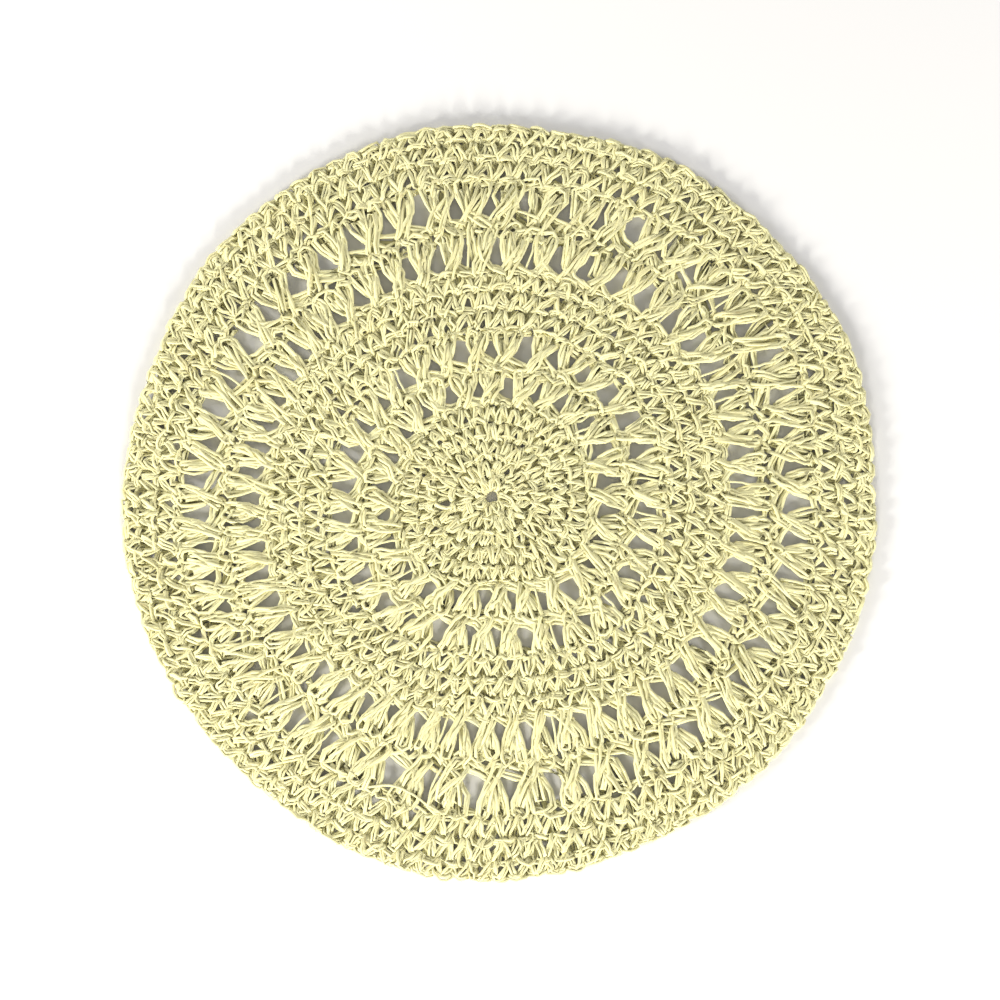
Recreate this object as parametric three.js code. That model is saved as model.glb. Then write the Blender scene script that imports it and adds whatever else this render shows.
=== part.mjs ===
// A round table mat crocheted in paper yarn, lying flat: two tight bands of single crochet
// and a tight border, with two open bands of crossed stitches between them.
// Millimetres, +Z up. The underside lies on z = 0, and the origin is the middle of its box.
import * as THREE from "three";

// Whole mat
const MAT_RADIUS = 188.6;
const MAT_THICKNESS = 3.6;
const RIM_DRAW_IN = 0.8; // the yarn's round rim, narrower at the top and the underside

// The edge is a circle about its own middle, with slow swells where the rounds pulled in or out.
const EDGE_MIDDLE = { x: -0.2, y: 2.1 };
const EDGE_SWELLS = [
  { around: 2, heightMm: 0.8, firstDeg: 58 },
  { around: 3, heightMm: 0.9, firstDeg: 24 },
  { around: 5, heightMm: 1.1, firstDeg: 44 },
  { around: 6, heightMm: 0.5, firstDeg: 18 },
  { around: 9, heightMm: 0.6, firstDeg: 24 },
  { around: 10, heightMm: 0.45, firstDeg: 28 },
];

// Inside the edge the rounds wander in slow swells of their own, and were worked tighter over
// one stretch. The full swell holds between two shares of the mat's radius and fades past them.
const ROUND_SWELLS = [
  { around: 1, heightMm: 0.6, firstDeg: 0 },
  { around: 2, heightMm: 1.0, firstDeg: 0 },
  { around: 3, heightMm: 1.2, firstDeg: 78 },
  { around: 4, heightMm: 1.0, firstDeg: 38 },
];
const TIGHT_STRETCH = { middleDeg: 272, halfSpanDeg: 45, depthMm: 4 };
const FULL_SWELL = { from: 0.33, to: 0.8 };

// Each stitch of the last round stands proud of the dip beside it.
const EDGE_STITCHES = 122;
const SCALLOP_DEPTH = 0.9;
const SCALLOP_WAVER = 0.5; // share of the depth that changes from stitch to stitch

// The first ring of stitches, which the rounds grow from, lies off the middle of the outline.
const START_RING = { x: -4.7, y: 3.8, holeRadius: 3.3 };

// Open holes of the lace rounds. middle is the radius that their middles lie on, wide runs along
// the round and high across it. They are largest towards largestDeg, as many times round as swings.
const LACE_ROUNDS = [
  { holes: 24, middle: 57.0, wide: 7.2, high: 7.6, firstDeg: 8.6, swing: 0.16, swings: 1, largestDeg: 40 },
  { holes: 30, middle: 75.3, wide: 8.8, high: 9.6, firstDeg: 6.6, swing: 0.08, swings: 2, largestDeg: 150 },
  { holes: 54, middle: 124.4, wide: 6.6, high: 10.4, firstDeg: 4.0, swing: 0.2, swings: 1, largestDeg: 20 },
  { holes: 51, middle: 149.6, wide: 8.8, high: 13.0, firstDeg: 6.6, swing: 0.16, swings: 2, largestDeg: 145 },
];

// Where the stitches of a lace round lie further along it than even spacing would put them.
const SHIFTED_STRETCHES = [
  { round: 2, middleDeg: 110, halfSpanDeg: 105, shiftDeg: 7.2 },
  { round: 3, middleDeg: 240, halfSpanDeg: 75, shiftDeg: -5.2 },
];

// One hole: wide at its base, towards the mat's middle, and narrower outwards.
const HOLE_CORNERS = 8;
const HOLE_TAPER = 0.24;
const HOLE_LEAN = 0.12; // clockwise shift towards the outer end, for each millimetre of height
const HOLE_WAVER = { bearing: 0.09, middleMm: 0.8, wide: 0.14, high: 0.12, corner: 0.07 };

// Hand-made unevenness: a fixed number between -1 and 1 for each row and place.
const WAVER_STEPS = { row: 127.1, place: 311.7, spread: 43758.5453 };
const WAVER_ROWS = { edge: 1, firstLace: 2, wide: 10, high: 20, middle: 30, corner: 40 };

function waver(row, place) {
  const mixed = Math.sin(row * WAVER_STEPS.row + place * WAVER_STEPS.place) * WAVER_STEPS.spread;
  return 2 * (mixed - Math.floor(mixed)) - 1;
}

function radians(degrees) {
  return THREE.MathUtils.degToRad(degrees);
}

// The sum of a table's swells at a bearing.
function swell(table, bearing) {
  return table.reduce((sum, s) => sum + s.heightMm * Math.cos(s.around * (bearing - radians(s.firstDeg))), 0);
}

// A smooth rise from 0 at the ends of a stretch of the round to 1 in its middle.
function riseOver(stretch, bearing) {
  const away = THREE.MathUtils.radToDeg(bearing) - stretch.middleDeg;
  const turned = THREE.MathUtils.euclideanModulo(away + 180, 360) - 180;
  if (Math.abs(turned) > stretch.halfSpanDeg) return 0;
  return 0.5 * (1 + Math.cos((Math.PI * turned) / stretch.halfSpanDeg));
}

// A point at a radius from the start ring. Rounds near the ring are true circles about it, and
// the further out a round lies, the more it follows the edge's middle and swells.
function onRound(radius, bearing) {
  const outwards = radius / MAT_RADIUS;
  const x = THREE.MathUtils.lerp(START_RING.x, EDGE_MIDDLE.x, outwards);
  const y = THREE.MathUtils.lerp(START_RING.y, EDGE_MIDDLE.y, outwards);
  const rising = THREE.MathUtils.clamp(outwards / FULL_SWELL.from, 0, 1);
  const fading = THREE.MathUtils.clamp((1 - outwards) / (1 - FULL_SWELL.to), 0, 1);
  const drawnIn = TIGHT_STRETCH.depthMm * riseOver(TIGHT_STRETCH, bearing);
  const wander = (swell(ROUND_SWELLS, bearing) - drawnIn) * rising * fading;
  const reach = radius + swell(EDGE_SWELLS, bearing) * outwards * outwards + wander;
  return new THREE.Vector2(x + reach * Math.cos(bearing), y + reach * Math.sin(bearing));
}

// The edge: a crest and a dip for each stitch of the last round.
function edgeOutline() {
  const points = [];
  for (let i = 0; i < 2 * EDGE_STITCHES; i++) {
    const side = i % 2 === 0 ? 0.5 : -0.5;
    const depth = SCALLOP_DEPTH * (1 + SCALLOP_WAVER * waver(WAVER_ROWS.edge, i));
    points.push(onRound(MAT_RADIUS + side * depth, (Math.PI * i) / EDGE_STITCHES));
  }
  return points;
}

// The first ring's own small hole.
function startHole() {
  return Array.from({ length: HOLE_CORNERS }, (_, i) => {
    const bearing = (2 * Math.PI * i) / HOLE_CORNERS;
    return new THREE.Vector2(
      START_RING.x + START_RING.holeRadius * Math.cos(bearing),
      START_RING.y + START_RING.holeRadius * Math.sin(bearing),
    );
  });
}

// The bearing of a lace hole: even spacing, its shifted stretch and a little unevenness.
function holeBearing(round, row, place) {
  const pitch = (2 * Math.PI) / round.holes;
  const even = radians(round.firstDeg) + pitch * place;
  const shift = SHIFTED_STRETCHES.filter((s) => LACE_ROUNDS[s.round] === round).reduce(
    (sum, s) => sum + radians(s.shiftDeg) * riseOver(s, even),
    0,
  );
  return even + shift + pitch * HOLE_WAVER.bearing * waver(row, place);
}

// One lace hole as a ring of corners about its middle.
function laceHole(round, row, place) {
  const bearing = holeBearing(round, row, place);
  const turn = round.swings * (bearing - radians(round.largestDeg));
  const grown = 1 + round.swing * Math.cos(turn);
  const halfWidth = 0.5 * round.wide * grown * (1 + HOLE_WAVER.wide * waver(row + WAVER_ROWS.wide, place));
  const halfHeight = 0.5 * round.high * grown * (1 + HOLE_WAVER.high * waver(row + WAVER_ROWS.high, place));
  const middle = round.middle + HOLE_WAVER.middleMm * waver(row + WAVER_ROWS.middle, place);
  return Array.from({ length: HOLE_CORNERS }, (_, i) => {
    const turned = (2 * Math.PI * (i + 0.5)) / HOLE_CORNERS;
    const size = 1 + HOLE_WAVER.corner * waver(row + WAVER_ROWS.corner + i, place);
    const out = halfHeight * size * Math.sin(turned);
    const taper = 1 - HOLE_TAPER * Math.sin(turned);
    const clockwise = halfWidth * size * taper * Math.cos(turned) + HOLE_LEAN * out;
    return onRound(middle + out, bearing - clockwise / middle);
  });
}

function allHoles() {
  const rounds = LACE_ROUNDS.flatMap((round, row) =>
    Array.from({ length: round.holes }, (_, place) => laceHole(round, row + WAVER_ROWS.firstLace, place)),
  );
  return [startHole(), ...rounds];
}

// Writes the same flat net of triangles at the underside and the top, and closes it with walls.
function matGeometry(edge, holes) {
  const middle = new THREE.Box2().setFromPoints(edge).getCenter(new THREE.Vector2());
  const positions = [];
  const faces = [];
  const addRing = (ring, z, drawIn = 0) =>
    ring.map((p) => {
      const inwards = 1 - drawIn / MAT_RADIUS;
      return positions.push((p.x - middle.x) * inwards, (p.y - middle.y) * inwards, z) / 3 - 1;
    });
  const addWall = (low, high, facesOut) => {
    low.forEach((_, i) => {
      const next = (i + 1) % low.length;
      const quad = [low[i], low[next], high[next], high[i]];
      const [a, b, c, d] = facesOut ? quad : quad.reverse();
      faces.push(a, b, c, a, c, d);
    });
  };
  const edgeLow = addRing(edge, 0, RIM_DRAW_IN);
  const edgeHigh = addRing(edge, MAT_THICKNESS, RIM_DRAW_IN);
  const edgeWaist = addRing(edge, MAT_THICKNESS / 2);
  const holesLow = holes.map((hole) => addRing(hole, 0));
  const holesHigh = holes.map((hole) => addRing(hole, MAT_THICKNESS));
  const low = [edgeLow, ...holesLow].flat();
  const high = [edgeHigh, ...holesHigh].flat();
  for (const [a, b, c] of THREE.ShapeUtils.triangulateShape(edge, holes)) {
    faces.push(high[a], high[b], high[c], low[c], low[b], low[a]);
  }
  addWall(edgeLow, edgeWaist, true);
  addWall(edgeWaist, edgeHigh, true);
  holesLow.forEach((ring, i) => addWall(ring, holesHigh[i], false));
  const geometry = new THREE.BufferGeometry();
  geometry.setAttribute("position", new THREE.Float32BufferAttribute(positions, 3));
  geometry.setIndex(faces);
  geometry.computeVertexNormals();
  return geometry;
}

const paperYarn = new THREE.MeshStandardMaterial({ color: 0xece3b2, roughness: 0.72, metalness: 0 });
const mat = new THREE.Mesh(matGeometry(edgeOutline(), allHoles()), paperYarn);
mat.name = "mat";

const part = new THREE.Group();
part.add(mat);

export default part;
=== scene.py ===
"""A round table mat crocheted in paper yarn, lying flat: tight rounds of single crochet, and open
rounds of crossed double crochet between them. Metres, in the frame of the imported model."""

import logging
import math
from collections.abc import Iterator
from dataclasses import dataclass, field
from enum import Enum

import bpy
import numpy as np
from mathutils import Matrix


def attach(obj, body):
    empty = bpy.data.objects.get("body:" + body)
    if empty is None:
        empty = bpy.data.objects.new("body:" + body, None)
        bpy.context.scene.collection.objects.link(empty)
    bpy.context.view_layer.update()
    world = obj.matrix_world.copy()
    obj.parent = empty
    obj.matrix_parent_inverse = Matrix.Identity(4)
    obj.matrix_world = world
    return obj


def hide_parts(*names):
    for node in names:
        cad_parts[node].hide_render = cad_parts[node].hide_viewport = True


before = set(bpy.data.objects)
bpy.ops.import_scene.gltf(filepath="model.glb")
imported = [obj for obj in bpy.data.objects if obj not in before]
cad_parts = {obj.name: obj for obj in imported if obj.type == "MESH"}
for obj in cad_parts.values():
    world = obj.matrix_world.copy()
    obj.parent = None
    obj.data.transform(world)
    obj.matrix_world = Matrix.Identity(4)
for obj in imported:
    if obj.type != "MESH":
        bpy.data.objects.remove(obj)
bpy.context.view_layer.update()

LOG = logging.getLogger("crochet_mat")
MM = 0.001
TURN = 2 * math.pi
SHORTEST = 1e-9  # keeps a length from being zero
BAKE_MAP = "OFBake"
YARN_MAP = "yarn"
SHADE = "shade"
Array = np.ndarray
Random = np.random.Generator
Socket = bpy.types.NodeSocket
Colour = tuple[float, float, float, float]
Rows = tuple[tuple[float, ...], ...]


@dataclass(frozen=True)
class Swell:
    """A slow wave round the mat, in millimetres."""

    around: int
    height: float
    first_deg: float

    def at(self, bearing: Array) -> Array:
        """Its height at a bearing in radians."""
        return self.height * np.cos(self.around * (bearing - math.radians(self.first_deg)))


@dataclass(frozen=True)
class Ripple:
    """A slow wave across the mat, which lifts it. Radians for each metre along X and along Y."""

    along_x: float
    along_y: float
    phase: float
    share: float = 1.0


@dataclass(frozen=True)
class Stretch:
    """A part of the way round that differs, most in its middle.

    amount is in millimetres where the mat is drawn in, and in degrees where holes are shifted.
    """

    middle_deg: float
    half_span_deg: float
    amount: float

    def rise(self, bearing: Array) -> Array:
        """A smooth rise from 0 at both ends of the stretch to 1 in its middle.

        Args:
            bearing: directions in radians.

        Returns:
            A number for each direction, 0 outside the stretch.
        """
        turned = (np.degrees(bearing) - self.middle_deg + 180) % 360 - 180
        return np.where(
            np.abs(turned) > self.half_span_deg,
            0.0,
            0.5 * (1 + np.cos(np.pi * turned / self.half_span_deg)),
        )


WAVER_MIX = (127.1, 311.7, 43758.5453)


def waver(row: Array | int, place: Array | int) -> Array:
    """Hand-made unevenness: a fixed number between -1 and 1 for each row and place.

    Args:
        row: which kind of unevenness.
        place: the stitch or corner.

    Returns:
        The number, as the CAD works it out.
    """
    by_row, by_place, large = WAVER_MIX
    mixed = np.sin(np.asarray(row) * by_row + np.asarray(place) * by_place) * large
    return 2 * (mixed - np.floor(mixed)) - 1


@dataclass(frozen=True)
class MatPlan:
    """Where the rounds of the mat lie, by the CAD's own sizes, in millimetres.

    The round swells are full between full_from and full_to, shares of the radius. The mat lies on
    the table where its ripples, with ripple_raised added, are below 0.
    """

    radius: float = 188.6
    thickness: float = 3.6
    edge_stitches: int = 122
    scallop_depth: float = 0.9
    scallop_waver: float = 0.5
    ring_middle: tuple[float, float] = (-4.7, 3.8)
    edge_middle: tuple[float, float] = (-0.2, 2.1)
    edge_swells: tuple[Swell, ...] = (
        Swell(2, 0.8, 58),
        Swell(3, 0.9, 24),
        Swell(5, 1.1, 44),
        Swell(6, 0.5, 18),
        Swell(9, 0.6, 24),
        Swell(10, 0.45, 28),
    )
    round_swells: tuple[Swell, ...] = (
        Swell(1, 0.6, 0),
        Swell(2, 1.0, 0),
        Swell(3, 1.2, 78),
        Swell(4, 1.0, 38),
    )
    tight: Stretch = Stretch(272, 45, 4)
    full_from: float = 0.33
    full_to: float = 0.8
    ripples: tuple[Ripple, ...] = (
        Ripple(31, 12, 0.6),
        Ripple(-17, 43, 2.1),
        Ripple(71, -38, 4.0, 0.7),
        Ripple(64, 93, 1.2, 0.5),
    )
    ripple_height: float = 0.35
    ripple_raised: float = 0.4

    def on_round(self, radius: Array, bearing: Array) -> tuple[Array, Array]:
        """A point at a radius from the start ring, before the outline is centred.

        Args:
            radius: nominal radius in millimetres.
            bearing: direction in radians, anticlockwise from +X.

        Returns:
            X and Y in millimetres.
        """
        outwards = radius / self.radius
        x, y = (a + (b - a) * outwards for a, b in zip(self.ring_middle, self.edge_middle))
        rising = np.clip(outwards / self.full_from, 0, 1)
        fading = np.clip((1 - outwards) / (1 - self.full_to), 0, 1)
        drawn_in = self.tight.amount * self.tight.rise(bearing)
        wander = (sum(s.at(bearing) for s in self.round_swells) - drawn_in) * rising * fading
        reach = radius + sum(s.at(bearing) for s in self.edge_swells) * outwards**2 + wander
        return x + reach * np.cos(bearing), y + reach * np.sin(bearing)

    def middle(self) -> tuple[float, float]:
        """The middle of the outline's box, which is the model's origin.

        Returns:
            X and Y in millimetres, as on_round counts them.
        """
        i = np.arange(2 * self.edge_stitches)
        depth = self.scallop_depth * (1 + self.scallop_waver * waver(1, i))
        side = np.where(i % 2 == 0, 0.5, -0.5)
        x, y = self.on_round(self.radius + side * depth, np.pi * i / self.edge_stitches)
        return (x.min() + x.max()) / 2, (y.min() + y.max()) / 2

    def place(self, radius: Array, bearing: Array, height: Array) -> Array:
        """Points of the model, in metres.

        Args:
            radius: nominal radius in millimetres.
            bearing: direction in radians.
            height: height above the table in millimetres.

        Returns:
            An array with a last axis of X, Y and Z.
        """
        x, y = self.on_round(radius, bearing)
        mid = self.middle()
        return np.stack([x - mid[0], y - mid[1], height + 0 * x], axis=-1) * MM

    def lifted(self, radius: Array, bearing: Array, height: Array) -> Array:
        """Points of the model where the yarn has pulled the mat a little off the table.

        Args:
            radius: nominal radius in millimetres.
            bearing: direction in radians.
            height: height above the mat's underside in millimetres.

        Returns:
            Points in metres, N by 3.
        """
        points = self.place(radius, bearing, height).reshape(-1, 3)
        x, y = points[:, 0], points[:, 1]
        wave = sum(r.share * np.sin(r.along_x * x + r.along_y * y + r.phase) for r in self.ripples)
        points[:, 2] += self.ripple_height * MM * np.clip(wave + self.ripple_raised, 0, None)
        return points


PLAN = MatPlan()
MID_HEIGHT = PLAN.thickness / 2


def columns(rows: Rows) -> list[Array]:
    """The columns of a table of numbers."""
    return list(np.array(rows, dtype=float).T)


def smooth_path(points: Array, steps: Array) -> Array:
    """A smooth curve through points.

    Args:
        points: the points that it passes, N by 3.
        steps: straight pieces after each point; the last is not used.

    Returns:
        The curve's points.
    """
    padded = np.vstack([2 * points[0] - points[1], points, 2 * points[-1] - points[-2]])
    chord = np.diff(padded, axis=0)
    gap = np.sqrt(np.maximum(np.linalg.norm(chord, axis=1), SHORTEST))
    speed = chord / gap[:, None]
    turned = (padded[2:] - padded[:-2]) / (gap[:-1] + gap[1:])[:, None]
    heading = speed[:-1] + speed[1:] - turned
    steps = steps[:-1]
    piece = np.repeat(np.arange(len(steps)), steps)
    first = np.repeat(np.cumsum(steps) - steps, steps)
    t = ((np.arange(len(piece)) - first) / steps[piece])[:, None]
    width = gap[1:-1][piece][:, None]
    a, b = points[piece], points[piece + 1]
    p, q = heading[piece] * width, heading[piece + 1] * width
    curve = (
        (2 * t**3 - 3 * t**2 + 1) * a
        + (t**3 - 2 * t**2 + t) * p
        + (3 * t**2 - 2 * t**3) * b
        + (t**3 - t**2) * q
    )
    return np.vstack([curve, points[-1:]])


DRIFT_REACH = 0.6  # the usual size of a drift's numbers


def drift(rng: Random, along: Array, every: float) -> Array:
    """Smooth random numbers, mostly between -1 and 1, along a length.

    Args:
        rng: the seeded source.
        along: distances, rising.
        every: distance over which the number changes.

    Returns:
        One number for each distance.
    """
    knots = max(2, int(along[-1] / every) + 2)
    values = rng.normal(0, DRIFT_REACH, knots)
    at = along / along[-1] * (knots - 1)
    low = np.minimum(at.astype(int), knots - 2)
    t = at - low
    t = t * t * (3 - 2 * t)
    return values[low] * (1 - t) + values[low + 1] * t


@dataclass
class StrandNet:
    """Closed tubes that make one mesh, with the maps that its finish reads.

    cell_shape is how many more cells lie across the bake's map than down it; cell_margin and
    end_radius are shares of a cell.
    """

    sides: int = 4
    cell_shape: float = 1.9
    cell_margin: float = 0.05
    end_radius: float = 0.35
    points: list[Array] = field(default_factory=list)
    rings: list[int] = field(default_factory=list)
    along: list[Array] = field(default_factory=list)
    shade: list[Array] = field(default_factory=list)

    def add(self, tube: Array, along: Array, shade: Array) -> None:
        """Adds one tube.

        Args:
            tube: rings by sides by 3 points, in metres.
            along: distance along the strand at each ring, in metres.
            shade: one number for each ring.
        """
        self.points.append(tube.reshape(-1, 3))
        self.rings.append(len(tube))
        self.along.append(along)
        self.shade.append(np.repeat(shade, self.sides))

    def tubes(self) -> Iterator[tuple[int, int, Array]]:
        """Goes through the tubes.

        Yields:
            Its first point, its number of rings and the distances along it.
        """
        start = 0
        for rings, along in zip(self.rings, self.along):
            yield start, rings, along
            start += rings * self.sides

    def faces(self) -> tuple[Array, Array]:
        """The faces of the tubes.

        Returns:
            The points of each wall face, and of the two ends of each tube.
        """
        k = self.sides
        side = np.arange(k)
        walls, ends = [], []
        for start, rings, _ in self.tubes():
            ring = np.arange(rings - 1)[:, None]
            this = start + ring * k + side
            after = start + ring * k + (side + 1) % k
            walls.append(np.stack([this, after, after + k, this + k], axis=-1).reshape(-1, 4))
            ends += [start + side[::-1], start + (rings - 1) * k + side]
        return np.concatenate(walls), np.array(ends)

    def yarn_map(self) -> Array:
        """Where each face's corners lie on the strand.

        Returns:
            Distance along it in metres and share of the way round it, walls before ends.
        """
        side = np.arange(self.sides)
        walls, ends = [], []
        for _, _, along in self.tubes():
            low, high = along[:-1, None] + 0 * side, along[1:, None] + 0 * side
            one, two = side / self.sides + 0 * low, (side + 1) / self.sides + 0 * low
            walls.append(np.stack([low, one, low, two, high, two, high, one], axis=-1))
            for order, at in ((side[::-1], along[0]), (side, along[-1])):
                ends.append(np.stack([at + 0 * order, order / self.sides], axis=-1))
        return np.concatenate([part.reshape(-1, 2) for part in walls + ends])

    def bake_map(self) -> Array:
        """A map in which no two faces lie on each other: one cell for each ring and each end.

        Returns:
            The place of each face's corners in the map, walls before ends.
        """
        side = np.arange(self.sides)
        rings = np.array(self.rings)
        first = np.cumsum(rings + 1) - (rings + 1)
        cells = int((rings + 1).sum())
        across = math.ceil(math.sqrt(cells * self.cell_shape))
        down = math.ceil(cells / across)
        wall = np.concatenate([at + np.arange(n - 1) for at, n in zip(first, rings)])
        wall = np.repeat(wall, self.sides)[:, None]
        edge = np.stack([side, side + 1, side + 1, side], axis=-1) / self.sides
        edge = np.tile(edge, (len(wall) // self.sides, 1))
        edge = self.cell_margin + (1 - 2 * self.cell_margin) * edge
        walls = [(wall % across + np.array([0, 0, 1, 1])) / across, (wall // across + edge) / down]
        end = np.stack([first + rings - 1, first + rings], axis=-1).reshape(-1, 1)
        turned = side / self.sides * TURN
        x, y = (0.5 + self.end_radius * way(turned) for way in (np.cos, np.sin))
        ends = [(end % across + x) / across, (end // across + y) / down]
        return np.concatenate([np.stack(part, axis=-1).reshape(-1, 2) for part in (walls, ends)])

    def build(self, name: str) -> bpy.types.Object:
        """Makes the mesh and its object.

        Args:
            name: the piece's name.

        Returns:
            The linked object.
        """
        walls, ends = self.faces()
        points = np.concatenate(self.points)
        loops = np.concatenate([walls.reshape(-1), ends.reshape(-1)])
        sizes = np.concatenate([np.full(len(walls), 4), np.full(len(ends), self.sides)])
        mesh = bpy.data.meshes.new(name)
        mesh.vertices.add(len(points))
        mesh.vertices.foreach_set("co", points.astype(np.float32).reshape(-1))
        mesh.loops.add(len(loops))
        mesh.loops.foreach_set("vertex_index", loops.astype(np.int32))
        mesh.polygons.add(len(sizes))
        mesh.polygons.foreach_set("loop_start", (np.cumsum(sizes) - sizes).astype(np.int32))
        mesh.update(calc_edges=True)
        mesh.polygons.foreach_set("use_smooth", np.ones(len(sizes), bool))
        for label, corners in ((YARN_MAP, self.yarn_map()), (BAKE_MAP, self.bake_map())):
            layer = mesh.uv_layers.new(name=label)
            layer.uv.foreach_set("vector", corners.astype(np.float32).reshape(-1))
        shade = mesh.attributes.new(SHADE, "FLOAT", "POINT")
        shade.data.foreach_set("value", np.concatenate(self.shade).astype(np.float32))
        mesh.validate()
        piece = bpy.data.objects.new(name, mesh)
        bpy.context.scene.collection.objects.link(piece)
        return piece


@dataclass(frozen=True)
class PaperCord:
    """The yarn: paper strands worked side by side. Sizes in millimetres.

    roll is in radians, and spread and swelling are shares. Each name that ends in every is the
    length over which the one before it changes. A strand's grain starts at up to starts metres.
    """

    strands: int = 3
    wide: float = 1.62
    thick: float = 1.45
    apart: float = 1.2
    roll: float = 0.75
    roll_every: float = 9.0
    spread: float = 0.35
    spread_every: float = 11.0
    wander: float = 0.6
    wander_every: float = 3.6
    swelling: float = 0.1
    swelling_every: float = 6.0
    tones_every: tuple[float, float] = (60.0, 12.0)
    starts: float = 10.0

    @staticmethod
    def across(path: Array) -> tuple[Array, Array]:
        """The directions across a path.

        Args:
            path: points, N by 3.

        Returns:
            Beside it and above it, at each point.
        """
        heading = np.gradient(path, axis=0)
        heading /= np.maximum(np.linalg.norm(heading, axis=1, keepdims=True), SHORTEST)
        side = np.stack([-heading[:, 1], heading[:, 0], 0 * heading[:, 0]], axis=1)
        same = np.where((side[1:] * side[:-1]).sum(axis=1) < 0, -1, 1)
        side *= np.concatenate([[1], np.cumprod(same)])[:, None]
        for _ in range(2):
            side[1:-1] = 0.5 * side[1:-1] + 0.25 * (side[:-2] + side[2:])
        side -= (side * heading).sum(axis=1, keepdims=True) * heading
        side /= np.maximum(np.linalg.norm(side, axis=1, keepdims=True), SHORTEST)
        return side, np.cross(heading, side)

    def sweep(self, net: StrandNet, path: Array, rng: Random) -> None:
        """Lays the yarn along a path.

        Args:
            net: takes the tubes.
            path: the yarn's middle, in metres.
            rng: the seeded source of unevenness.
        """
        step = np.linalg.norm(np.diff(path, axis=0), axis=1)
        along = np.concatenate([[0], np.cumsum(step)])
        side, above = self.across(path)
        roll = self.roll * drift(rng, along, self.roll_every * MM)
        cos, sin = np.cos(roll)[:, None], np.sin(roll)[:, None]
        out, over = cos * side + sin * above, cos * above - sin * side
        turned = (np.arange(net.sides) + 0.5) / net.sides * TURN
        flat = self.wide * np.cos(turned)[None, :, None] * out[:, None]
        deep = self.thick * np.sin(turned)[None, :, None] * over[:, None]
        for i in range(self.strands):
            place = i - 0.5 * (self.strands - 1)
            spread = 1 + self.spread * drift(rng, along, self.spread_every * MM)
            gap = MM * (place * self.apart * spread)
            gap = gap + self.wander * MM * drift(rng, along, self.wander_every * MM)
            lift = self.wander * MM * drift(rng, along, self.wander_every * MM)
            middle = path + gap[:, None] * out + lift[:, None] * over
            swelling = 1 + self.swelling * drift(rng, along, self.swelling_every * MM)
            tube = middle[:, None] + 0.5 * (MM * swelling)[:, None, None] * (flat + deep)
            tube[..., 2] = np.maximum(tube[..., 2], 0)
            slow, quick = (0.5 * drift(rng, along, every * MM) for every in self.tones_every)
            net.add(tube, along + rng.uniform(0, self.starts), slow + quick)


CORD = PaperCord()
TIGHT_CORD = PaperCord(wide=1.42, apart=0.84)
MIDDLE_CORD = PaperCord(wide=1.55, apart=1.1)
OPEN_CORD = PaperCord(strands=2, wide=1.95, apart=1.35, roll=1.0, wander=0.8)
LOOSE_CORD = PaperCord(strands=1, wide=1.5, roll=0, wander=0.3)


@dataclass(frozen=True)
class TightRound:
    """One round of single crochet.

    foot and top are radii in millimetres. Its chain lies back by folded, a share of the height.
    """

    stitches: int
    foot: float
    top: float
    first_deg: float = 0.0
    folded: float = 0.0


@dataclass(frozen=True)
class LaceRound:
    """One round of crossed pairs. middle, foot and top are radii in millimetres.

    The holes grow by a share, swing, as often round the mat as swings says and most at
    largest_deg. row picks the round's own waver.
    """

    holes: int
    middle: float
    first_deg: float
    swing: float
    swings: int
    largest_deg: float
    row: int
    foot: float
    top: float
    shift: Stretch | None = None
    chain_depth: float = 2.2
    bearing_waver: float = 0.09

    def width(self) -> float:
        """The length along the round of one pair, in millimetres."""
        return TURN * self.middle / self.holes

    def crossings(self) -> Array:
        """Where the pairs cross, midway between neighbouring holes.

        Returns:
            The bearing of each crossing, in radians.
        """
        pitch = TURN / self.holes
        place = np.arange(-1, self.holes)
        even = math.radians(self.first_deg) + pitch * place
        moved = 0 * even
        if self.shift is not None:
            moved = math.radians(self.shift.amount) * self.shift.rise(even)
        uneven = pitch * self.bearing_waver * waver(self.row, place % self.holes)
        hole = even + moved + uneven
        return 0.5 * (hole[:-1] + hole[1:])

    def bearing(self, s: Array) -> Array:
        """The bearing at a number of pairs along the round.

        Args:
            s: pairs, counted anticlockwise from the first crossing.

        Returns:
            Bearings in radians.
        """
        crossings = self.crossings()
        n = self.holes
        turns = np.floor(s / n)
        wrapped = s - turns * n
        closed = np.concatenate([crossings, [crossings[0] + TURN]])
        return np.interp(wrapped, np.arange(n + 1), closed) + turns * TURN

    def grown(self, s: Array) -> Array:
        """How much larger than usual the holes are there."""
        turn = self.swings * (self.bearing(s) - math.radians(self.largest_deg))
        return 1 + self.swing * np.cos(turn)


class YarnPiece:
    """A piece of the mat that is made of yarn."""

    name: str

    def build(self) -> bpy.types.Object:
        """Builds the piece's mesh, in its own way for each kind of piece."""
        raise NotImplementedError

    def dressed(self, yarn: bpy.types.Material) -> bpy.types.Object:
        """Builds the piece, gives it its finish and ties it to the model.

        Args:
            yarn: the finish.

        Returns:
            The piece.
        """
        piece = self.build()
        piece.data.materials.append(yarn)
        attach(piece, "root")
        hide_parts("mat")
        return piece


@dataclass
class Band(YarnPiece):
    """Rounds of stitches of one kind, with one path of the yarn through each round."""

    name: str
    rounds: tuple[TightRound | LaceRound, ...]
    seed: int
    cord: PaperCord = CORD

    def path(self, each: TightRound | LaceRound, rng: Random) -> Array:
        """The middle of the yarn through one round, in its own way for each kind of stitch."""
        raise NotImplementedError

    def build(self) -> bpy.types.Object:
        """Builds the band's mesh.

        Returns:
            The band.
        """
        rng = np.random.default_rng(self.seed)
        net = StrandNet()
        for each in self.rounds:
            self.cord.sweep(net, self.path(each, rng), rng)
        return net.build(self.name)


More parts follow.
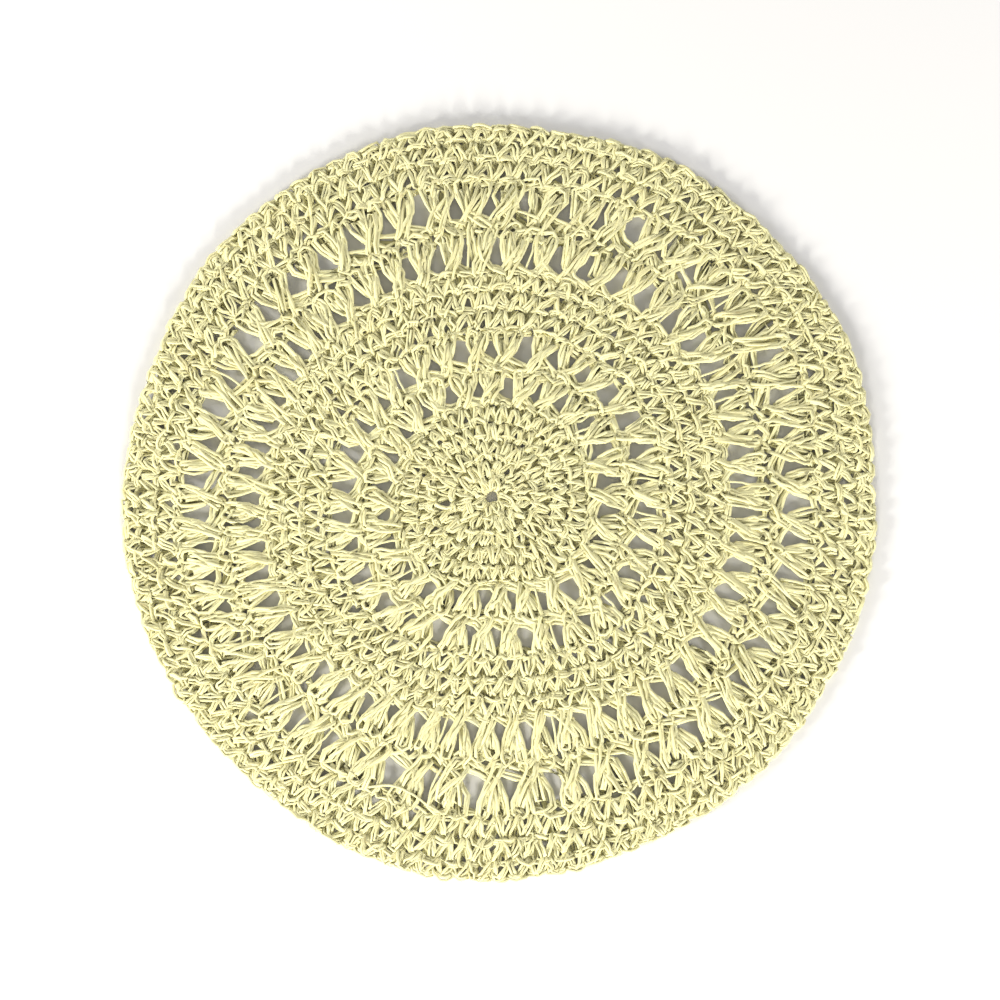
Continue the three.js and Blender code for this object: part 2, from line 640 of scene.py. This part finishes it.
@dataclass
class TightBand(Band):
    """Rounds of single crochet that lie close together.

    What lies farther out than chain_from, a share of the round's height, is the chain. lean and
    uneven_along are in stitches, uneven_height is a share, and jitter is in millimetres.
    """

    lean: float = 0.22
    lean_up_to: float = 1.1
    chain_from: float = 0.92
    uneven_along: float = 0.07
    uneven_height: float = 0.06
    jitter: float = 0.28
    jitter_up: float = 0.4
    # one stitch, point by point: stitches along, anticlockwise; share of the round's height; up in
    # millimetres from the middle of the mat's thickness; how many straight pieces follow
    stitch: Rows = (
        (-0.03, -0.14, 0.0, 1),
        (0.07, 0.05, 0.70, 1),
        (0.20, 0.34, 1.10, 1),
        (0.33, 0.62, 1.15, 1),
        (0.46, 0.87, 1.00, 1),
        (0.56, 0.88, 0.95, 1),
        (0.68, 0.62, 1.20, 1),
        (0.81, 0.34, 1.20, 1),
        (0.93, 0.06, 1.10, 1),
        (1.04, -0.14, 0.2, 1),
        (1.00, 0.10, -1.05, 1),
        (1.00, 0.50, -1.00, 1),
        (1.03, 0.93, -0.30, 1),
        (1.14, 1.09, 0.75, 1),
        (1.56, 1.18, 1.00, 2),
        (1.92, 1.14, 0.75, 1),
        (2.03, 1.02, -0.30, 1),
        (1.80, 0.88, -0.70, 1),
        (1.42, 0.82, -0.50, 1),
        (1.10, 0.56, -1.15, 1),
        (1.00, 0.10, -1.15, 1),
    )

    def path(self, tight: TightRound, rng: Random) -> Array:
        """The middle of the yarn through one round.

        Args:
            tight: the round.
            rng: the seeded source of unevenness.

        Returns:
            Points in metres.
        """
        n = tight.stitches
        index = np.arange(n)[:, None]
        along, out, up, _ = columns(self.stitch)
        out = np.where(out > self.chain_from, out - tight.folded, out)
        foot = rng.normal(0, self.uneven_along, n)
        tall = 1 + rng.normal(0, self.uneven_height, n)
        places = np.arange(-1, n + 4)
        feet = places + foot[places % n]
        s = np.interp(index + along, places, feet)
        height = np.interp(index + along, places, tall[places % n])
        s = s - self.lean * np.clip(out, 0, self.lean_up_to)
        s = s + rng.normal(0, self.jitter, s.shape) / (TURN * tight.foot / n)
        radius = tight.foot + (tight.top - tight.foot) * out * height
        radius = radius + rng.normal(0, self.jitter, s.shape)
        up = MID_HEIGHT + up + rng.normal(0, self.jitter_up, s.shape)
        bearing = math.radians(tight.first_deg) + TURN * s / n
        steps = [row[-1] for row in self.stitch]
        return smooth_path(PLAN.lifted(radius, bearing, up), np.tile(steps, n))


class Side(Enum):
    """Which of a crossed pair a stitch is: the one in front or the one behind."""

    FRONT = "front"
    BEHIND = "behind"


@dataclass(frozen=True)
class PostLine:
    """The middle line of a tall stitch, foot to top, and how it passes the other of its pair.

    along is in pairs from the crossing, and so is top, where its chain starts. lift is how far the
    line is raised at the crossing, in millimetres.
    """

    at: tuple[float, ...]
    along: tuple[float, ...]
    out: tuple[float, ...]
    top: float
    lift: float


POST_LINES = {
    Side.FRONT: PostLine(
        (-0.10, 0.0, 0.25, 0.50, 0.75, 1.0, 1.15),
        (0.26, 0.21, 0.05, -0.11, -0.20, -0.27, -0.31),
        (-0.10, 0.0, 0.25, 0.50, 0.75, 1.0, 1.12),
        top=-0.27,
        lift=0.35,
    ),
    Side.BEHIND: PostLine(
        (-0.10, 0.0, 0.22, 0.46, 0.72, 1.0, 1.15),
        (-0.82, -0.72, -0.28, 0.07, 0.19, 0.24, 0.26),
        (-0.05, 0.0, 0.12, 0.30, 0.62, 1.0, 1.12),
        top=0.23,
        lift=-0.75,
    ),
}


@dataclass
class LaceBand(Band):
    """Rounds of crossed double crochet, open between the pairs.

    leg is a stitch's usual width as a share of its pair's, and leg_shrink how much narrower it is
    beside a larger hole. The pair crosses at crossing_out, a share of the round's height.
    """

    cord: PaperCord = OPEN_CORD
    leg: float = 0.1
    leg_shrink: float = 0.7
    uneven_leg: float = 0.2
    uneven_along: float = 0.055
    uneven_height: float = 0.04
    jitter: float = 0.45
    link_jitter: float = 0.8
    link_span: float = 0.5
    jitter_up: float = 0.32
    crossing_out: float = 0.26
    crossing_reach: float = 0.26
    ahead: float = 0.03  # how far on along the line its direction is read
    # one tall stitch: share of the post's line; leg widths aside, anticlockwise; then as above
    post: Rows = (
        (0.93, -0.4, -0.80, 1),
        (0.88, -0.9, -0.40, 1),
        (0.74, -0.7, 0.85, 1),
        (0.48, 0.1, 1.25, 1),
        (0.20, 0.7, 0.70, 1),
        (0.08, 0.5, -0.90, 1),
        (0.00, 0.0, -1.00, 1),
        (-0.05, -0.4, 0.00, 1),
        (0.02, -1.15, 0.90, 1),
        (0.22, -1.05, 1.10, 1),
        (0.50, -0.85, 1.05, 1),
        (0.82, -0.60, 0.80, 1),
        (0.86, 0.45, 0.80, 1),
        (0.48, 0.80, 1.05, 1),
        (0.20, 1.05, 1.10, 1),
        (0.02, 1.15, 0.90, 1),
        (-0.05, 0.4, 0.00, 1),
        (0.05, 0.1, -1.10, 1),
        (0.30, 0.0, -1.10, 1),
        (0.38, -0.80, -0.10, 1),
        (0.55, -1.15, 0.85, 1),
        (0.78, -1.42, 1.15, 1),
        (0.98, -1.20, 1.00, 1),
        (1.05, 0.0, 0.85, 1),
        (0.96, 1.20, 1.00, 1),
        (0.76, 1.42, 1.15, 1),
        (0.54, 1.15, 0.75, 1),
        (0.40, 0.3, -0.60, 1),
        (0.66, 0.2, -1.20, 1),
        (0.93, 0.1, -0.90, 1),
    )
    # from one top to the next: share of the way, share of the chain's depth, up, steps
    link: Rows = (
        (0.04, 0.1, 0.30, 1),
        (0.22, 0.65, 0.80, 1),
        (0.55, 0.95, 0.85, 2),
        (0.92, 0.4, 0.65, 1),
        (1.05, -0.4, 0.10, 1),
        (0.86, -0.9, 0.30, 1),
        (0.50, -0.6, 0.40, 1),
        (0.15, -1.1, -0.30, 1),
    )

    def post_keys(
        self, line: PostLine, pair: Array, lace: LaceRound, tall: Array, stout: Array
    ) -> tuple[Array, Array, Array]:
        """The points of one stitch in every pair of a round.

        Args:
            line: the stitch's middle line.
            pair: the number of each pair, as a column.
            lace: the round.
            tall: each pair's height against the usual, as a column.
            stout: each stitch's width against the usual, as a column.

        Returns:
            Along in pairs, radius and height above the table in millimetres.
        """
        at, across, up, _ = columns(self.post)
        width = lace.width()
        height = lace.top - lace.foot
        x, dx = (np.interp(at + d, line.at, line.along) for d in (0, self.ahead))
        y, dy = (np.interp(at + d, line.at, line.out) for d in (0, self.ahead))
        run, rise = (dx - x) * width, (dy - y) * height
        length = np.hypot(run, rise)
        leg = self.leg * width * stout * (1 - self.leg_shrink * (lace.grown(pair) - 1))
        s = pair + x + across * leg * rise / length / width
        radius = lace.foot + (y * height - across * leg * run / length) * tall
        crossing = np.exp(-(((y - self.crossing_out) / self.crossing_reach) ** 2))
        return s, radius, MID_HEIGHT + up + crossing * line.lift + 0 * pair

    def link_keys(
        self, start: float, pair: Array, lace: LaceRound, tall: Array, rng: Random
    ) -> tuple[Array, Array, Array]:
        """The chain loop from one top to the next, in every pair of a round.

        Args:
            start: the top that it leaves, in pairs from the crossing.
            pair: the number of each pair, as a column.
            lace: the round.
            tall: each pair's height against the usual, as a column.
            rng: the seeded source of unevenness.

        Returns:
            Along in pairs, radius and height above the table in millimetres.
        """
        way, out, up, _ = columns(self.link)
        s = pair + start + self.link_span * way
        s = s + rng.normal(0, self.link_jitter, s.shape) / lace.width()
        radius = lace.foot + (lace.top - lace.foot) * tall + out * lace.chain_depth
        radius = radius + rng.normal(0, self.link_jitter, s.shape)
        return s, radius, MID_HEIGHT + up + 0 * pair

    def path(self, lace: LaceRound, rng: Random) -> Array:
        """The middle of the yarn through one round.

        Args:
            lace: the round.
            rng: the seeded source of unevenness.

        Returns:
            Points in metres.
        """
        n = lace.holes
        pair = np.arange(n)[:, None]
        tall = 1 + rng.normal(0, self.uneven_height, (n, 1))
        parts = []
        for side in Side:
            line = POST_LINES[side]
            moved = rng.normal(0, self.uneven_along, (n, 1))
            stout = 1 + rng.normal(0, self.uneven_leg, (n, 1))
            s, radius, up = self.post_keys(line, pair, lace, tall, stout)
            parts.append((s + moved, radius, up))
            parts.append(self.link_keys(line.top, pair, lace, tall, rng))
        s, radius, up = (np.concatenate([part[i] for part in parts], axis=1) for i in range(3))
        s = s + rng.normal(0, self.jitter, s.shape) / lace.width()
        radius = radius + rng.normal(0, self.jitter, s.shape)
        up = up + rng.normal(0, self.jitter_up, s.shape)
        steps = [row[-1] for row in self.post + self.link]
        keys = PLAN.lifted(radius, lace.bearing(s), up)
        return smooth_path(keys, np.tile(steps, n * len(Side)))


CENTRE_ROUNDS = (
    TightRound(8, 4.8, 11.4, 10),
    TightRound(16, 10.7, 19.6, 4),
    TightRound(25, 19.8, 29.0, 8),
    TightRound(34, 29.0, 38.0, 2),
    TightRound(43, 38.2, 47.0, 5),
)
MIDDLE_ROUNDS = (
    TightRound(64, 86.4, 95.8, 2),
    TightRound(74, 96.2, 105.4, 4),
    TightRound(83, 105.6, 114.2, 1),
)
BORDER_ROUNDS = (
    TightRound(107, 161.8, 171.2, 0.5),
    TightRound(118, 171.4, 180.6, 1.8),
    TightRound(122, 180.4, 188.0, 0.2, 0.3),
)
INNER_LACE = (
    LaceRound(24, 57.0, 8.6, 0.16, 1, 40, 2, 48.2, 65.6),
    LaceRound(30, 75.3, 6.6, 0.08, 2, 150, 3, 66.4, 85.2),
)
NEAR_LACE = (
    LaceRound(54, 124.4, 4.0, 0.2, 1, 20, 4, 112.8, 135.2, Stretch(110, 105, 7.2), 4.0),
)
FAR_LACE = (LaceRound(51, 149.6, 6.6, 0.16, 2, 145, 5, 138.0, 160.6, Stretch(240, 75, -5.2)),)


@dataclass
class StartRing(YarnPiece):
    """The yarn wound round the hole in the middle, where the work began. Millimetres."""

    name: str = "start_ring"
    seed: int = 18
    radius: float = 4.7
    uneven: float = 0.3
    uneven_turns: float = 2.3
    turns: float = 2.15
    points: int = 44
    rise: float = 0.5

    def build(self) -> bpy.types.Object:
        """Builds the ring's mesh.

        Returns:
            The ring.
        """
        rng = np.random.default_rng(self.seed)
        bearing = np.linspace(0, self.turns * TURN, self.points)
        radius = self.radius + self.uneven * np.sin(self.uneven_turns * bearing)
        up = MID_HEIGHT + self.rise * np.sin(0.5 * bearing)
        net = StrandNet()
        TIGHT_CORD.sweep(net, PLAN.place(radius, bearing, up), rng)
        return net.build(self.name)


@dataclass
class LooseStrands(YarnPiece):
    """Single strands that have slipped out of the yarn and lie across the holes.

    share is how many holes have one; the sizes after it are in pairs along the round.
    """

    name: str = "loose_strands"
    seed: int = 17
    share: float = 0.34
    from_crossing: float = 0.55
    aside: float = 0.12
    lean: float = 0.2
    slant: float = 0.1
    bow: float = 0.05
    steps: int = 3
    # share of the round's height and height above the mat's middle, from one end to the other
    rows: Rows = (
        (0.0, -0.6),
        (0.2, 1.0),
        (0.45, 1.3),
        (0.7, 1.2),
        (0.9, 0.9),
        (1.05, -0.6),
    )
    # a strand pulled out in an arc at the foot of the border: radius, bearing in degrees, up
    pulled: Rows = (
        (161.5, 243.8, -0.4),
        (158.6, 246.0, 1.7),
        (155.2, 249.0, 2.1),
        (155.4, 252.6, 2.1),
        (158.2, 256.0, 1.8),
        (161.4, 259.4, 1.5),
        (163.5, 261.0, -0.4),
    )

    def across(self, lace: LaceRound, rng: Random) -> list[Array]:
        """The strands across some of a round's holes.

        Args:
            lace: the round.
            rng: the seeded source, which chooses the holes.

        Returns:
            The points that each strand passes, in metres.
        """
        out, up = columns(self.rows)
        radius = lace.foot + (lace.top - lace.foot) * out
        found = []
        for pair in range(lace.holes):
            side, slant, bow = rng.normal(0, 1, 3)
            if rng.random() > self.share:
                continue
            s = pair + self.from_crossing - self.lean * (out - 0.5) + self.aside * np.sign(side)
            s = s + self.slant * slant * (out - 0.5) + self.bow * bow * np.sin(np.pi * out)
            found.append(PLAN.lifted(radius, lace.bearing(s), MID_HEIGHT + up))
        return found

    def build(self) -> bpy.types.Object:
        """Builds the strands' mesh.

        Returns:
            The strands, as one piece.
        """
        rng = np.random.default_rng(self.seed)
        net = StrandNet()
        radius, degrees, up = columns(self.pulled)
        lines = [PLAN.lifted(radius, np.radians(degrees), MID_HEIGHT + up)]
        for lace in INNER_LACE + NEAR_LACE + FAR_LACE:
            lines += self.across(lace, rng)
        for keys in lines:
            LOOSE_CORD.sweep(net, smooth_path(keys, np.full(len(keys), self.steps)), rng)
        return net.build(self.name)


class NodeSheet:
    """Adds nodes to a tree and joins them."""

    MIX_INPUTS = (0, 6, 7)  # the Mix node's factor and its two colours
    MIX_OUTPUT = 2

    def __init__(self, tree: bpy.types.NodeTree) -> None:
        """Starts on an empty tree."""
        self.tree = tree

    def add(self, kind: str, **values: object) -> bpy.types.Node:
        """Adds a node.

        Args:
            kind: the node's type.
            values: its own settings by name.

        Returns:
            The node.
        """
        node = self.tree.nodes.new(kind)
        for name, value in values.items():
            setattr(node, name, value)
        return node

    def join(self, source: Socket, target: Socket) -> None:
        """Joins two sockets."""
        self.tree.links.new(source, target)

    def feed(self, target: Socket, value: object) -> None:
        """Joins a socket to another, or sets its number or colour.

        Args:
            target: the socket that takes it.
            value: a socket, a number or a colour.
        """
        if isinstance(value, Socket):
            self.join(value, target)
        else:
            target.default_value = value

    def math(self, operation: str, *inputs: object, clamp: bool = False) -> Socket:
        """Adds a Math node.

        Args:
            operation: what it works out.
            inputs: sockets or numbers, in order.
            clamp: whether the result is kept between 0 and 1.

        Returns:
            Its output.
        """
        node = self.add("ShaderNodeMath", operation=operation, use_clamp=clamp)
        for socket, value in zip(node.inputs, inputs):
            self.feed(socket, value)
        return node.outputs[0]

    def mix(self, factor: object, first: object, second: object) -> Socket:
        """Mixes two colours.

        Args:
            factor: a socket or a number.
            first: colour or socket at 0.
            second: colour or socket at 1.

        Returns:
            The mixed colour.
        """
        node = self.add("ShaderNodeMix", data_type="RGBA")
        for place, value in zip(self.MIX_INPUTS, (factor, first, second)):
            self.feed(node.inputs[place], value)
        return node.outputs[self.MIX_OUTPUT]


def new_group(
    name: str, inputs: dict[str, float | None], outputs: tuple[str, ...]
) -> tuple[NodeSheet, bpy.types.Node, bpy.types.Node]:
    """Starts a shader node group that puts out numbers.

    Args:
        name: the group's name.
        inputs: a usual value for each input; None stands for a vector.
        outputs: the name of each output.

    Returns:
        The group's sheet of nodes, its input node and its output node.
    """
    tree = bpy.data.node_groups.new(name, "ShaderNodeTree")
    for label, value in inputs.items():
        kind = "NodeSocketVector" if value is None else "NodeSocketFloat"
        socket = tree.interface.new_socket(name=label, in_out="INPUT", socket_type=kind)
        if value is not None:
            socket.default_value = value
    for label in outputs:
        tree.interface.new_socket(name=label, in_out="OUTPUT", socket_type="NodeSocketFloat")
    sheet = NodeSheet(tree)
    return sheet, sheet.add("NodeGroupInput"), sheet.add("NodeGroupOutput")


RIDGE_SHAPE = 0.55  # below 1, a ply is rounder on top and its grooves are narrower
# below 1, the painted shade in the grooves between plies keeps to narrow lines
GROOVE_SHADE_SHAPE = 0.4


def ply_group() -> bpy.types.NodeTree:
    """The twist of a paper strand: two plies wound round each other, seen as slanting grooves;
    Height is their relief, and the other output marks where painted shade goes in the grooves.

    Returns:
        The group. Lay is the length of one turn, in metres.
    """
    inputs = {"Map": None, "Plies": 2.0, "Lay": 0.026}
    sheet, source, sink = new_group("ply_twist", inputs, ("Height", "GrooveShade"))
    split = sheet.add("ShaderNodeSeparateXYZ")
    sheet.join(source.outputs["Map"], split.inputs[0])
    turns = sheet.math("DIVIDE", split.outputs[0], source.outputs["Lay"])
    wound = sheet.math("ADD", turns, split.outputs[1])
    phase = sheet.math("MULTIPLY", sheet.math("MULTIPLY", wound, source.outputs["Plies"]), math.pi)
    ridge = sheet.math("ABSOLUTE", sheet.math("SINE", phase))
    sheet.join(sheet.math("POWER", ridge, RIDGE_SHAPE), sink.inputs["Height"])
    # where the plies part: the mask for painted shade in the grooves
    top = sheet.math("POWER", ridge, GROOVE_SHADE_SHAPE)
    sheet.join(sheet.math("SUBTRACT", 1.0, top, clamp=True), sink.inputs["GrooveShade"])
    return sheet.tree


@dataclass(frozen=True)
class FibreNoise:
    """One noise along a strand: its output, the input with its scale, and its levels.

    stretch is for along the strand and around for the way round it; low and high are the noise's
    levels at which the output is 0 and 1.
    """

    output: str
    scale: str
    stretch: float
    around: float
    low: float
    high: float


FIBRE_NOISES = (
    FibreNoise("Crease", "Creases", 0.35, 1.6, 0.3, 0.7),
    FibreNoise("Tone", "Tones", 1.0, 0.6, 0.3, 0.7),
    FibreNoise("Fleck", "Creases", 0.18, 0.6, 0.70, 0.74),
)


def fibre_group() -> bpy.types.NodeTree:
    """Paper along the strand: fine creases, slow changes of tone, and a few darker flecks.

    Returns:
        The group. Creases and Tones are scales for each metre.
    """
    inputs = {"Map": None, "Creases": 900.0, "Tones": 60.0}
    sheet, source, sink = new_group("paper_fibre", inputs, ("Crease", "Tone", "Fleck"))
    split = sheet.add("ShaderNodeSeparateXYZ")
    sheet.join(source.outputs["Map"], split.inputs[0])
    turned = sheet.math("MULTIPLY", split.outputs[1], TURN)
    for layer in FIBRE_NOISES:
        scale = sheet.math("MULTIPLY", source.outputs[layer.scale], layer.stretch)
        vector = sheet.add("ShaderNodeCombineXYZ")
        sheet.join(sheet.math("MULTIPLY", split.outputs[0], scale), vector.inputs[0])
        for place, way in ((1, "COSINE"), (2, "SINE")):
            round_it = sheet.math("MULTIPLY", sheet.math(way, turned), layer.around)
            sheet.join(round_it, vector.inputs[place])
        noise = sheet.add("ShaderNodeTexNoise")
        noise.inputs["Scale"].default_value = 1.0
        noise.inputs["Detail"].default_value = 3.0
        sheet.join(vector.outputs[0], noise.inputs["Vector"])
        level = sheet.add("ShaderNodeMapRange")
        level.inputs["From Min"].default_value = layer.low
        level.inputs["From Max"].default_value = layer.high
        sheet.join(noise.outputs[0], level.inputs[0])
        sheet.join(level.outputs[0], sink.inputs[layer.output])
    return sheet.tree


@dataclass(frozen=True)
class PaperYarnFinish:
    """Pale straw-yellow twisted paper, matt with a faint sheen, painted shade in its grooves.
    Colours are linear.

    relief is in metres; the sizes after it say how strongly each effect works.
    """

    name: str = "paper_yarn"
    pale: Colour = (0.645, 0.622, 0.36, 1)
    deep: Colour = (0.63, 0.588, 0.318, 1)
    fleck: Colour = (0.40, 0.28, 0.10, 1)
    # painted shade for the grooves between the plies
    groove_shade_colour: Colour = (0.36, 0.33, 0.12, 1)
    roughness: float = 0.62
    sheen: float = 0.05
    specular: float = 0.22
    relief: float = 0.00006
    relief_strength: float = 0.8
    shade_in_tone: float = 0.6
    tone_from: float = 0.1
    # how much of the painted groove shade goes into the colour
    groove_shade_in_colour: float = 0.10
    fleck_in_colour: float = 0.6
    crease_in_roughness: float = 0.16
    crease_in_relief: float = 0.25

    def make(self) -> bpy.types.Material:
        """Makes the material and its node groups.

        Returns:
            The material.
        """
        made = bpy.data.materials.new(self.name)
        made.use_nodes = True
        sheet = NodeSheet(made.node_tree)
        shader = made.node_tree.nodes["Principled BSDF"]
        shader.inputs["Sheen Weight"].default_value = self.sheen
        shader.inputs["Specular IOR Level"].default_value = self.specular
        where = sheet.add("ShaderNodeUVMap", uv_map=YARN_MAP)
        ply = sheet.add("ShaderNodeGroup", node_tree=ply_group())
        fibre = sheet.add("ShaderNodeGroup", node_tree=fibre_group())
        for node in (ply, fibre):
            sheet.join(where.outputs[0], node.inputs["Map"])
        shade = sheet.add("ShaderNodeAttribute", attribute_name=SHADE).outputs["Fac"]
        tone = sheet.math("MULTIPLY_ADD", shade, self.shade_in_tone, fibre.outputs["Tone"])
        tone = sheet.math("SUBTRACT", tone, self.tone_from, clamp=True)
        colour = sheet.mix(tone, self.pale, self.deep)
        # painted shade in the ply grooves
        groove_shade = sheet.math("MULTIPLY", ply.outputs["GrooveShade"], self.groove_shade_in_colour)
        colour = sheet.mix(groove_shade, colour, self.groove_shade_colour)
        flecked = sheet.math("MULTIPLY", fibre.outputs["Fleck"], self.fleck_in_colour)
        sheet.join(sheet.mix(flecked, colour, self.fleck), shader.inputs["Base Color"])
        crease = fibre.outputs["Crease"]
        rough = sheet.math("MULTIPLY_ADD", crease, self.crease_in_roughness, self.roughness)
        sheet.join(rough, shader.inputs["Roughness"])
        bump = sheet.add("ShaderNodeBump")
        bump.inputs["Strength"].default_value = self.relief_strength
        bump.inputs["Distance"].default_value = self.relief
        relief = (crease, self.crease_in_relief, ply.outputs["Height"])
        sheet.join(sheet.math("MULTIPLY_ADD", *relief), bump.inputs["Height"])
        sheet.join(bump.outputs[0], shader.inputs["Normal"])
        return made


@dataclass(frozen=True)
class TableFinish:
    """A plain pale table top."""

    name: str = "pale_table"
    colour: Colour = (0.66, 0.655, 0.655, 1)
    roughness: float = 0.9

    def make(self) -> bpy.types.Material:
        """Makes the material.

        Returns:
            The material.
        """
        made = bpy.data.materials.new(self.name)
        made.use_nodes = True
        shader = made.node_tree.nodes["Principled BSDF"]
        shader.inputs["Base Color"].default_value = self.colour
        shader.inputs["Roughness"].default_value = self.roughness
        return made


@dataclass(frozen=True)
class Lamp:
    """A soft square light that faces the mat. Metres and watts."""

    name: str
    place: tuple[float, float, float]
    side: float
    power: float
    tint: tuple[float, ...]

    def hang(self) -> None:
        """Adds the light to the scene."""
        data = bpy.data.lights.new(self.name, "AREA")
        data.size, data.energy, data.color = self.side, self.power, self.tint
        lamp = bpy.data.objects.new(self.name, data)
        lamp.location = self.place
        lamp.rotation_euler = (-lamp.location).to_track_quat("-Z", "Y").to_euler()
        bpy.context.scene.collection.objects.link(lamp)


@dataclass
class Studio:
    """A pale table, light that is warmer and stronger from the lower left, and the camera.

    Metres and watts, apart from the sensor.
    """

    table_side: float = 6.0
    table_drop: float = 0.0001
    camera_height: float = 1.5
    camera_aside: tuple[float, float] = (0.0007, 0.0019)
    picture_side: float = 0.5
    sensor_mm: float = 36.0
    lamps: int = 6
    lamp_side: float = 0.3
    ring: float = 1.2
    ring_height: float = 0.44
    lamp_power: float = 10.85
    stronger: float = 1.6
    warm_side_deg: float = 242.0
    warm: tuple[float, float, float] = (1.0, 0.97, 0.88)
    cool: tuple[float, float, float] = (0.97, 0.97, 1.0)
    room_light: float = 0.4
    room_colour: Colour = (1.0, 0.99, 0.97, 1)

    def table(self) -> None:
        """Lays the table under the mat."""
        half = self.table_side / 2
        mesh = bpy.data.meshes.new("table_top")
        corners = [(-half, -half, 0), (half, -half, 0), (half, half, 0), (-half, half, 0)]
        mesh.from_pydata(corners, [], [(0, 1, 2, 3)])
        floor = bpy.data.objects.new("table_top", mesh)
        bpy.context.scene.collection.objects.link(floor)
        floor.location.z = -self.table_drop
        floor.data.materials.append(TableFinish().make())

    def lights(self) -> None:
        """Hangs a ring of lamps round the mat and lights the room."""
        for i in range(self.lamps):
            bearing = TURN * (i + 0.5) / self.lamps
            toward = 0.5 + 0.5 * math.cos(bearing - math.radians(self.warm_side_deg))
            tint = tuple(cool + (warm - cool) * toward for cool, warm in zip(self.cool, self.warm))
            x, y = self.ring * math.cos(bearing), self.ring * math.sin(bearing)
            power = self.lamp_power * (1 + self.stronger * (toward - 0.5))
            Lamp(f"lamp_{i}", (x, y, self.ring_height), self.lamp_side, power, tint).hang()
        world = bpy.data.worlds.new("soft_room")
        world.use_nodes = True
        room = world.node_tree.nodes["Background"]
        room.inputs["Color"].default_value = self.room_colour
        room.inputs["Strength"].default_value = self.room_light
        bpy.context.scene.world = world

    def camera(self) -> None:
        """Sets up the camera, straight above the mat."""
        data = bpy.data.cameras.new("camera")
        data.sensor_width = self.sensor_mm
        data.lens = self.camera_height * data.sensor_width / self.picture_side
        camera = bpy.data.objects.new("camera", data)
        camera.location = (*self.camera_aside, self.camera_height)
        scene = bpy.context.scene
        scene.collection.objects.link(camera)
        scene.camera = camera
        scene.view_settings.view_transform = "Standard"

    def build(self) -> None:
        """Sets up the table, the lights and the camera."""
        self.table()
        self.lights()
        self.camera()


def main() -> None:
    """Builds the mat, dresses it and sets up the studio."""
    logging.basicConfig(level=logging.INFO, format="%(message)s")
    Studio().build()
    yarn = PaperYarnFinish().make()
    pieces = (
        TightBand("centre", CENTRE_ROUNDS, seed=11, cord=TIGHT_CORD, lean=0.06, jitter=0.36),
        LaceBand("inner_lace", INNER_LACE, seed=12),
        TightBand("middle_band", MIDDLE_ROUNDS, seed=13, cord=MIDDLE_CORD),
        LaceBand("near_lace", NEAR_LACE, seed=14),
        LaceBand("far_lace", FAR_LACE, seed=16, leg=0.135),
        TightBand("border", BORDER_ROUNDS, seed=15),
        StartRing(),
        LooseStrands(),
    )
    made = {}
    for each in pieces:
        piece = each.dressed(yarn)
        made[piece.name] = piece
        faces = sum(len(p.vertices) - 2 for p in piece.data.polygons)
        surface = sum(p.area for p in piece.data.polygons)
        LOG.info("%s: %d triangles, %.4f m2", piece.name, faces, surface)
    cloth = made.pop("border")


if __name__ == "__main__":
    main()
